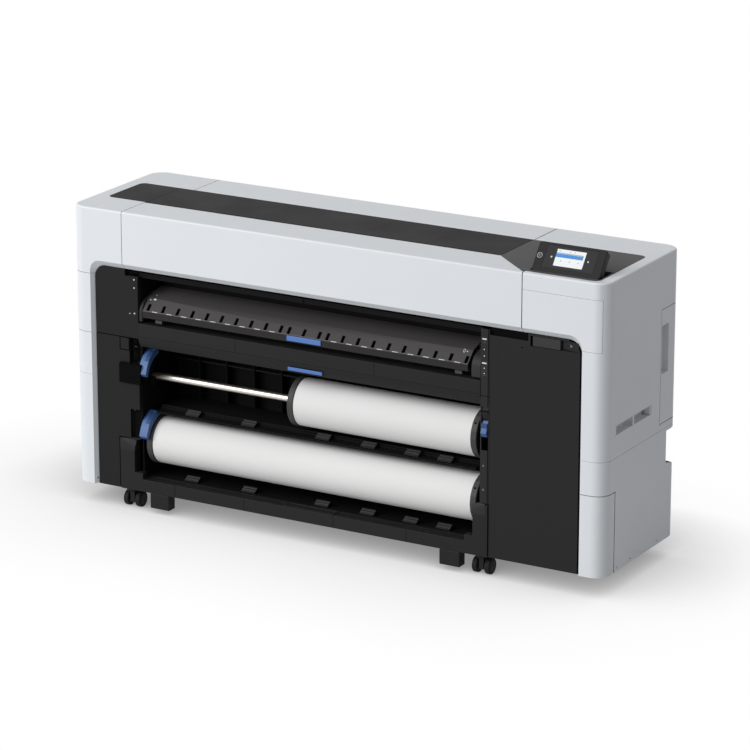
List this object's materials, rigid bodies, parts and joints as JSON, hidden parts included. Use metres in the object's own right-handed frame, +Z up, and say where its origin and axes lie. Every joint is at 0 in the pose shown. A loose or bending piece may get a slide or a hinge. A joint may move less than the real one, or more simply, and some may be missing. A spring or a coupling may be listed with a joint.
{
  "type": "large format plotter",
  "caption": "Floor-standing wide plotter with paper rolls in a bay under a lifting front cover, a tilting control panel, an ink door and castors.",
  "frame": {"origin": "on the floor under the middle of the casing", "axes": "+X along the rolls towards the control panel's side, -Y towards the person who uses it, +Z up"},
  "size_m": [1.843, 0.491, 1.0293],
  "materials": {
    "white_shell": "satin",
    "black_plastic": "fine texture",
    "dark_strip": "smooth",
    "tray_plastic": "fine texture",
    "guide_plastic": "satin",
    "blue_plastic": "satin",
    "paper_white": "matt",
    "spindle_steel": "brushed",
    "painted_steel": "matt",
    "rubber_black": "matt",
    "screen_glass": "clear, dark behind",
    "ink_plastic": "satin",
    "rail_aluminium": "extruded"
  },
  "bodies": {
    "chassis": {"base_frame": "painted_steel", "bay_back_wall": "black_plastic", "carriage_belt": "rubber_black", "carriage_motor": "painted_steel", "carriage_rail": "rail_aluminium", "cutter_rail": "black_plastic", "electronics_box": "guide_plastic", "ink_cartridge_1": "ink_plastic", "ink_cartridge_2": "ink_plastic", "ink_cartridge_3": "ink_plastic", "ink_cartridge_4": "ink_plastic", "ink_rack": "ink_plastic", "left_end_cover": "white_shell", "left_foot": "black_plastic", "left_frame_plate": "painted_steel", "left_front_panel": "black_plastic", "left_lower_panel": "black_plastic", "left_side_cover": "white_shell", "lower_front_beam": "black_plastic", "maintenance_box": "ink_plastic", "panel_tray": "tray_plastic", "platen": "guide_plastic", "rear_panel": "white_shell", "right_column": "painted_steel", "right_end_cover": "white_shell", "right_foot": "black_plastic", "right_side_cover": "white_shell", "roll_cover_beam": "black_plastic", "roll_shelf": "black_plastic", "side_access_panel": "white_shell", "top_rear_cover": "white_shell"},
    "lid": {"front_cover": "white_shell", "cover_window": "dark_strip"},
    "ink_door": {"ink_door": "black_plastic"},
    "maintenance_cover": {"maintenance_cover": "white_shell"},
    "control_panel": {"control_panel": "black_plastic", "panel_screen": "screen_glass"},
    "power_button": {"power_button": "tray_plastic"},
    "upper_roll": {"upper_spindle": "spindle_steel", "upper_paper_roll": "paper_white"},
    "upper_flange": {"upper_flange": "black_plastic"},
    "lower_roll": {"lower_spindle": "spindle_steel", "lower_flange": "black_plastic", "lower_paper_roll": "paper_white"},
    "left_upper_lever": {"left_upper_lever": "blue_plastic"},
    "left_lower_lever": {"left_lower_lever": "blue_plastic"},
    "right_upper_lever": {"right_upper_lever": "blue_plastic"},
    "carriage": {"carriage": "black_plastic"},
    "drive_pulley": {"drive_pulley": "rail_aluminium"},
    "feed_roller": {"feed_roller": "spindle_steel"},
    "output_guide": {"output_guide": "guide_plastic"},
    "roll_guide_flap": {"roll_guide_flap": "black_plastic"},
    "left_front_castor": {"left_front_castor_fork": "black_plastic"},
    "left_front_castor_wheels": {"left_front_castor_wheels": "rubber_black"},
    "left_rear_castor": {"left_rear_castor_fork": "black_plastic"},
    "left_rear_castor_wheels": {"left_rear_castor_wheels": "rubber_black"},
    "right_front_castor": {"right_front_castor_fork": "black_plastic"},
    "right_front_castor_wheels": {"right_front_castor_wheels": "rubber_black"},
    "right_rear_castor": {"right_rear_castor_fork": "black_plastic"},
    "right_rear_castor_wheels": {"right_rear_castor_wheels": "rubber_black"}
  },
  "joints": [
    {"name": "lid_hinge", "type": "hinge", "parent": "chassis", "child": "lid", "pos_m": [0, 0.0925, 0.96], "axis": [-1, 0, 0], "range_deg": [0, 65]},
    {"name": "ink_door_hinge", "type": "hinge", "parent": "chassis", "child": "ink_door", "pos_m": [0.53745, -0.2355, 0.067], "axis": [0, 0, -1], "range_deg": [0, 100]},
    {"name": "maintenance_cover_hinge", "type": "hinge", "parent": "chassis", "child": "maintenance_cover", "pos_m": [0.92145, -0.1755, 0.067], "axis": [0, 0, 1], "range_deg": [0, 95]},
    {"name": "control_panel_tilt", "type": "hinge", "parent": "chassis", "child": "control_panel", "pos_m": [0.65115, -0.18331, 0.96076], "axis": [-1, 0, 0], "range_deg": [-15, 42]},
    {"name": "power_button_press", "type": "slide", "parent": "control_panel", "child": "power_button", "axis": [0, 0.788, -0.6157], "range_m": [0, 0.001], "stiffness_N_per_m": 200},
    {"name": "upper_roll_spin", "type": "hinge", "parent": "chassis", "child": "upper_roll", "pos_m": [0, -0.1508, 0.422], "axis": [1, 0, 0], "continuous": true},
    {"name": "upper_flange_slide", "type": "slide", "parent": "upper_roll", "child": "upper_flange", "axis": [-1, 0, 0], "range_m": [0, 0.5]},
    {"name": "lower_roll_spin", "type": "hinge", "parent": "chassis", "child": "lower_roll", "pos_m": [0, -0.1508, 0.22], "axis": [1, 0, 0], "continuous": true},
    {"name": "left_upper_lever_turn", "type": "hinge", "parent": "chassis", "child": "left_upper_lever", "pos_m": [-0.68595, -0.1708, 0.513], "axis": [-1, 0, 0], "range_deg": [0, 35]},
    {"name": "left_lower_lever_turn", "type": "hinge", "parent": "chassis", "child": "left_lower_lever", "pos_m": [-0.68595, -0.1708, 0.311], "axis": [-1, 0, 0], "range_deg": [0, 35]},
    {"name": "right_upper_lever_turn", "type": "hinge", "parent": "chassis", "child": "right_upper_lever", "pos_m": [0.50765, -0.1708, 0.513], "axis": [-1, 0, 0], "range_deg": [0, 35]},
    {"name": "carriage_slide", "type": "slide", "parent": "chassis", "child": "carriage", "axis": [1, 0, 0], "range_m": [-1.445, 0.045]},
    {"name": "drive_pulley_spin", "type": "hinge", "parent": "chassis", "child": "drive_pulley", "pos_m": [0.86145, 0.0075, 0.835], "axis": [0, 0, 1], "continuous": true},
    {"name": "feed_roller_spin", "type": "hinge", "parent": "chassis", "child": "feed_roller", "pos_m": [0, -0.0225, 0.731], "axis": [1, 0, 0], "continuous": true},
    {"name": "output_guide_lift", "type": "hinge", "parent": "chassis", "child": "output_guide", "pos_m": [0, -0.1275, 0.708], "axis": [-1, 0, 0], "range_deg": [0, 35]},
    {"name": "roll_guide_flap_swing", "type": "hinge", "parent": "chassis", "child": "roll_guide_flap", "pos_m": [0, -0.2375, 0.568], "axis": [-1, 0, 0], "range_deg": [0, 60]},
    {"name": "left_front_castor_swivel", "type": "hinge", "parent": "chassis", "child": "left_front_castor", "pos_m": [-0.73445, -0.2075, 0.067], "axis": [0, 0, 1], "continuous": true},
    {"name": "left_front_castor_roll", "type": "hinge", "parent": "left_front_castor", "child": "left_front_castor_wheels", "pos_m": [-0.73445, -0.1955, 0.025], "axis": [1, 0, 0], "continuous": true},
    {"name": "left_rear_castor_swivel", "type": "hinge", "parent": "chassis", "child": "left_rear_castor", "pos_m": [-0.73445, 0.1705, 0.067], "axis": [0, 0, 1], "continuous": true},
    {"name": "left_rear_castor_roll", "type": "hinge", "parent": "left_rear_castor", "child": "left_rear_castor_wheels", "pos_m": [-0.73445, 0.1825, 0.025], "axis": [1, 0, 0], "continuous": true},
    {"name": "right_front_castor_swivel", "type": "hinge", "parent": "chassis", "child": "right_front_castor", "pos_m": [0.50315, -0.2075, 0.067], "axis": [0, 0, 1], "continuous": true},
    {"name": "right_front_castor_roll", "type": "hinge", "parent": "right_front_castor", "child": "right_front_castor_wheels", "pos_m": [0.50315, -0.1955, 0.025], "axis": [1, 0, 0], "continuous": true},
    {"name": "right_rear_castor_swivel", "type": "hinge", "parent": "chassis", "child": "right_rear_castor", "pos_m": [0.50315, 0.1705, 0.067], "axis": [0, 0, 1], "continuous": true},
    {"name": "right_rear_castor_roll", "type": "hinge", "parent": "right_rear_castor", "child": "right_rear_castor_wheels", "pos_m": [0.50315, 0.1825, 0.025], "axis": [1, 0, 0], "continuous": true}
  ],
  "couplings": [
    {"joint": "drive_pulley_spin", "follows": "carriage_slide", "rad_per_m": 97.087}
  ]
}
